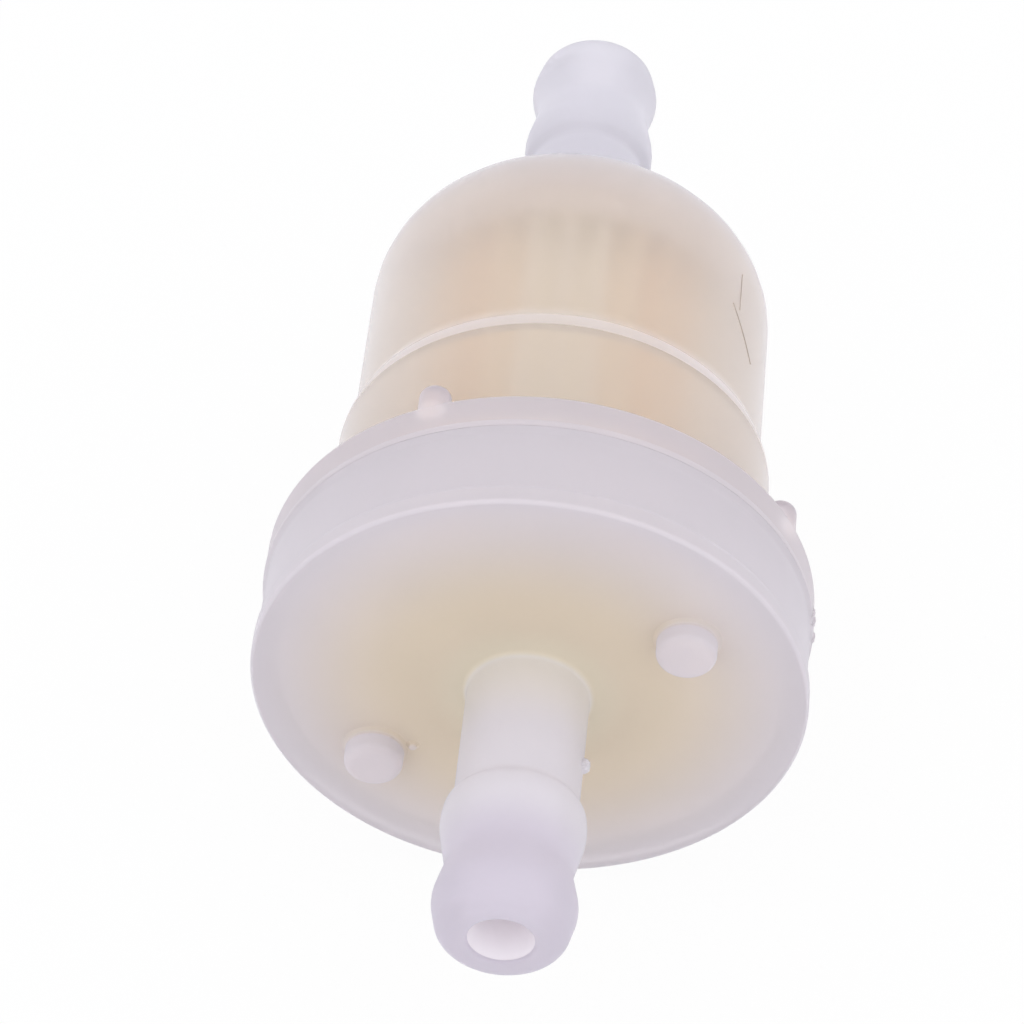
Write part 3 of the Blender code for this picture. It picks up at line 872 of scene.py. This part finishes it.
def wall_nylon(axis, skin):
    """The outside of the bowl's wall, darker and cooler on the dome."""
    made, tree, shader = new_material("wall_nylon")
    along = use_group(tree, axis)["Along"]
    colour = blend(tree, fade(tree, along, *DOME_FADE), DOME_MILK, WALL_MILK)
    finish_nylon(tree, shader, colour, use_group(tree, skin), WALL_FINISH)
    return made


def inner_nylon(name, skin, colour, finish):
    """Nylon of one colour, with plain milk where the cloud in it is thin."""
    made, tree, shader = new_material(name)
    outputs = use_group(tree, skin)
    finish_nylon(tree, shader, blend(tree, outputs["Cloud"], MILK, colour), outputs, finish)
    return made


def bore_nylon(skin):
    """The inside of the outlet stem, with a faint painted glow for the light that soaks through its wall.
    """
    made = inner_nylon("stem_bore", skin, BORE_MILK, BORE_FINISH)
    shader = made.node_tree.nodes["Principled BSDF"]
    # Painted glow: the bore gives off a faint light of its own colour
    feed(made.node_tree, shader.inputs["Emission Color"], (*BORE_MILK, 1))
    feed(made.node_tree, shader.inputs["Emission Strength"], BORE_GLOW)
    return made


def cup_nylon(axis, skin):
    """Lavender milk with painted light and shade on it: a warm glow towards the middle of the base, where
    the element is close behind it, a cream glow round the stem's root, a highlight round the base's edge
    and on the bosses' sides, and shade towards the stem's tip.
    """
    made, tree, shader = new_material("cup_nylon")
    place = use_group(tree, axis)
    along = place["Along"]
    radius = place["Radius"]
    on_boss = product(tree, fade(tree, along, *BOSS_FADE), fade(tree, radius, *BOSS_SIDE_FADE))
    on_stem = product(tree, fade(tree, along, *STEM_FADE), fade(tree, radius, *STEM_SIDE_FADE))
    # Painted highlight: a light line round the base's rounded edge
    edge_highlight = product(tree, fade(tree, radius, *EDGE_HIGHLIGHT_SIDE_FADE), fade(tree, along, *EDGE_HIGHLIGHT_FADE), EDGE_HIGHLIGHT_SHARE)
    # Painted light: the bosses' sides are lighter, fading to plain milk at their heads
    boss_lit_colour = blend(tree, fade(tree, along, *BOSS_LIT_SIDE_FADE), HIGHLIGHT_MILK, MILK)
    # Painted shade: the stem darkens towards its tip
    stem_colour = blend(tree, fade(tree, along, *TIP_SHADE_FADE), STEM_MILK, TIP_SHADE_MILK)
    # Painted light: the stem is lighter towards its root
    stem_colour = blend(tree, fade(tree, along, *ROOT_GLOW_FADE), ROOT_GLOW_MILK, stem_colour)
    # Painted light: the base warms towards its middle, where the element is close behind it
    colour = blend(tree, fade(tree, radius, *BASE_GLOW_FADE), BAND_MILK, BASE_GLOW_MILK)
    # Painted light: a cream glow on the base round the stem's root
    colour = blend(tree, fade(tree, radius, *CREAM_GLOW_FADE), colour, CREAM_GLOW_MILK)
    colour = blend(tree, on_boss, colour, boss_lit_colour)
    colour = blend(tree, fade(tree, along, *BAND_FADE), colour, BAND_MILK)
    colour = blend(tree, edge_highlight, colour, HIGHLIGHT_MILK)
    colour = blend(tree, on_stem, colour, stem_colour)
    finish_nylon(tree, shader, colour, use_group(tree, skin), SOLID_FINISH)
    return made


def seam_nylon(skin):
    """The fused milk of the weld, a little whiter than the walls."""
    made, tree, shader = new_material("seam_nylon")
    outputs = use_group(tree, skin)
    finish_nylon(tree, shader, blend(tree, outputs["Cloud"], BAND_MILK, MILK), outputs, SOLID_FINISH)
    return made


def paper_finish(axis, skin):
    """Resin-soaked filter paper with a felted face, four soft bands of painted shade round it, and a faint
    painted glow for the light that soaks through it.
    """
    made, tree, shader = new_material("filter_paper")
    outputs = use_group(tree, skin)
    # Painted shade: four soft darker bands at set turns round the axis, where the element's sides look
    # darker
    wave = reckon(tree, "COSINE", product(tree, use_group(tree, axis)["Turn"], SHADE_STRIPE_COUNT))
    shade_stripes = fade(tree, wave, *SHADE_STRIPE_FADE)
    share = product(tree, shade_stripes, fade(tree, outputs["Cloud"], *PAPER_CLOUD_FADE))
    colour = blend(tree, share, PAPER_PAINTED_SHADE_AND_CLOUD, PAPER_LIGHT)
    feed(tree, shader.inputs["Base Color"], colour)
    # Painted glow: the paper gives off a faint light of its own colour
    feed(tree, shader.inputs["Emission Color"], colour)
    feed(tree, shader.inputs["Emission Strength"], PAPER_GLOW)
    feed(tree, shader.inputs["Roughness"], PAPER_ROUGHNESS)
    bumped(tree, shader, outputs["Grain"], *PAPER_GRAIN)
    return made


def cloudy_plastic(name, skin, shade, light, roughness):
    """A plain moulded or poured plastic with a little cloud in it."""
    made, tree, shader = new_material(name)
    outputs = use_group(tree, skin)
    feed(tree, shader.inputs["Base Color"], blend(tree, outputs["Cloud"], shade, light))
    streaky = reckon(tree, "MULTIPLY_ADD", outputs["Streak"], STREAK_DEPTH, roughness)
    feed(tree, shader.inputs["Roughness"], streaky)
    bumped(tree, shader, outputs["Grain"], *PLASTIC_GRAIN)
    return made


def dress(piece, material, node):
    """Gives a piece its finish, hangs it on the root body and hides the imported node that it stands for.
    """
    piece.data.materials.clear()
    piece.data.materials.append(material)
    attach(piece, "root")
    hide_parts(node)


def on_wall(face):
    """True on the bowl between the flange and the stem, without the pegs."""
    middle = face.calc_center_median()
    beside_pegs = radius_of(middle) < LOWER_RADIUS + WALL_MARGIN
    return FLANGE_TOP + WALL_MARGIN < middle.y < DOME_TOP + DOME_MARGIN and beside_pegs


def on_ring(face):
    """True on the lower half of the step, where the wall is thickest."""
    middle = face.calc_center_median()
    at_step = STEP_LEVEL - SHOULDER_LENGTH < middle.y < STEP_LEVEL - SHOULDER_LENGTH / 2
    return at_step and radius_of(middle) > UPPER_RADIUS


def in_cavity(face):
    """True on the cavity's walls and on its ceiling."""
    middle = face.calc_center_median()
    outwards = Vector((middle.x, 0, middle.z)).normalized()
    within = middle.y > STEP_LEVEL and radius_of(middle) < UPPER_RADIUS - WALL
    ceiling = within and face.normal.y < CEILING_SLOPE
    side = face.normal.dot(outwards) < INWARD_SLOPE
    return middle.y < DOME_TOP - WALL / 2 and (side or ceiling)


def in_bore(face):
    """True inside a hose stem."""
    return radius_of(face.calc_center_median()) < BORE_RADIUS + SAME_PLACE


def paint(piece, material, wanted):
    """Gives the faces that the test accepts a finish of their own."""
    piece.data.materials.append(material)
    work_on(piece)
    bpy.ops.object.mode_set(mode="EDIT")
    bpy.ops.mesh.select_mode(type="FACE")
    shape = bmesh.from_edit_mesh(piece.data)
    for face in shape.faces:
        face.select = wanted(face)
    bmesh.update_edit_mesh(piece.data)
    piece.active_material_index = len(piece.data.materials) - 1
    bpy.ops.object.material_slot_assign()
    bpy.ops.object.mode_set(mode="OBJECT")


def make_camera():
    data = bpy.data.cameras.new("camera")
    data.lens = CAMERA_LENS
    data.sensor_width = CAMERA_SENSOR
    data.clip_start = CAMERA_NEAR
    camera = bpy.data.objects.new("camera", data)
    bpy.context.scene.collection.objects.link(camera)
    camera.location = CAMERA_PLACE
    camera.rotation_euler = (math.pi / 2 - CAMERA_ELEVATION, 0, CAMERA_AZIMUTH)
    bpy.context.scene.camera = camera


def seen_share(tree):
    """1 for rays from the camera, from gloss and through glass, and 0 for the rest."""
    path = tree.nodes.new("ShaderNodeLightPath").outputs
    either = reckon(tree, "MAXIMUM", path["Is Camera Ray"], path["Is Glossy Ray"])
    return reckon(tree, "MAXIMUM", either, path["Is Transmission Ray"])


def mixed(tree, share, first, second, output):
    step = tree.nodes.new("ShaderNodeMixShader")
    for socket, value in zip(step.inputs, (share, first, second)):
        feed(tree, socket, value)
    feed(tree, tree.nodes[output].inputs["Surface"], step.outputs[0])


def make_floor():
    """A pale floor under the lowest point, bright enough to go white and still keep the shadow."""
    deselect()
    bpy.ops.mesh.primitive_plane_add(size=FLOOR_SIZE, location=(0, 0, CAD_BOX[0][2]))
    floor = bpy.context.object
    floor.name = "floor"
    made, tree, shader = new_material("pale_floor")
    feed(tree, shader.inputs["Base Color"], (*FLOOR_COLOUR, 1))
    feed(tree, shader.inputs["Roughness"], FLOOR_ROUGHNESS)
    feed(tree, shader.inputs["Specular IOR Level"], 0.0)
    glow = tree.nodes.new("ShaderNodeEmission").outputs[0]
    share = product(tree, seen_share(tree), FLOOR_GLOW)
    mixed(tree, share, shader.outputs[0], glow, "Material Output")
    floor.data.materials.append(made)


def make_world():
    """Even light from all round, with plain white behind the object."""
    world = bpy.data.worlds.new("studio")
    bpy.context.scene.world = world
    world.use_nodes = True
    tree = world.node_tree
    ambient = tree.nodes["Background"]
    feed(tree, ambient.inputs["Color"], (*AMBIENT_COLOUR, 1))
    feed(tree, ambient.inputs["Strength"], AMBIENT_POWER)
    white = tree.nodes.new("ShaderNodeBackground")
    feed(tree, white.inputs["Color"], (1, 1, 1, 1))
    mixed(tree, seen_share(tree), ambient.outputs[0], white.outputs[0], "World Output")


def make_lamp(name, place, size, power):
    data = bpy.data.lights.new(name, "AREA")
    data.size = size
    data.energy = power
    lamp = bpy.data.objects.new(name, data)
    bpy.context.scene.collection.objects.link(lamp)
    lamp.location = place
    lamp.rotation_euler = (-Vector(place)).to_track_quat("-Z", "Y").to_euler()


def make_studio():
    bpy.context.scene.view_settings.view_transform = "Standard"
    make_camera()
    make_floor()
    make_world()
    make_lamp("key", KEY_PLACE, LAMP_SIZE, KEY_POWER)
    make_lamp("fill", FILL_PLACE, LAMP_SIZE, FILL_POWER)


def make_filter():
    axis = axis_group()
    skin = skin_group()
    cap_finish = cloudy_plastic("cap_plastic", skin, CAP_SHADE, CAP_LIGHT, CAP_ROUGHNESS)
    glue = cloudy_plastic("potting_glue", skin, GLUE_SHADE, GLUE_LIGHT, GLUE_ROUGHNESS)
    top_glue = make_potting("element_top_glue", TOP_GLUE_LOW, TOP_GLUE_HIGH, 0)
    bottom_glue = make_potting("element_bottom_glue", BOTTOM_GLUE_LOW, BOTTOM_GLUE_HIGH, GLUE_INSIDE)
    bowl = make_bowl()
    dress(bowl, bowl_nylon(axis, skin), "bowl")
    paint(bowl, wall_nylon(axis, skin), on_wall)
    paint(bowl, inner_nylon("step_ring", skin, RING_MILK, RING_FINISH), on_ring)
    paint(bowl, inner_nylon("wall_lining", skin, LINING_MILK, LINING_FINISH), in_cavity)
    cup = make_base_cup()
    dress(cup, cup_nylon(axis, skin), "base_cup")
    paint(cup, bore_nylon(skin), in_bore)
    dress(make_weld_bead(), seam_nylon(skin), "weld_bead")
    dress(make_paper(), paper_finish(axis, skin), "filter_paper")
    dress(make_seam_bead(), glue, "seam_bead")
    dress(make_top_cap(), cap_finish, "top_end_cap")
    dress(make_bottom_cap(), cap_finish, "bottom_end_cap")
    dress(top_glue, glue, "top_potting")
    dress(bottom_glue, glue, "bottom_potting")


make_studio()
make_filter()
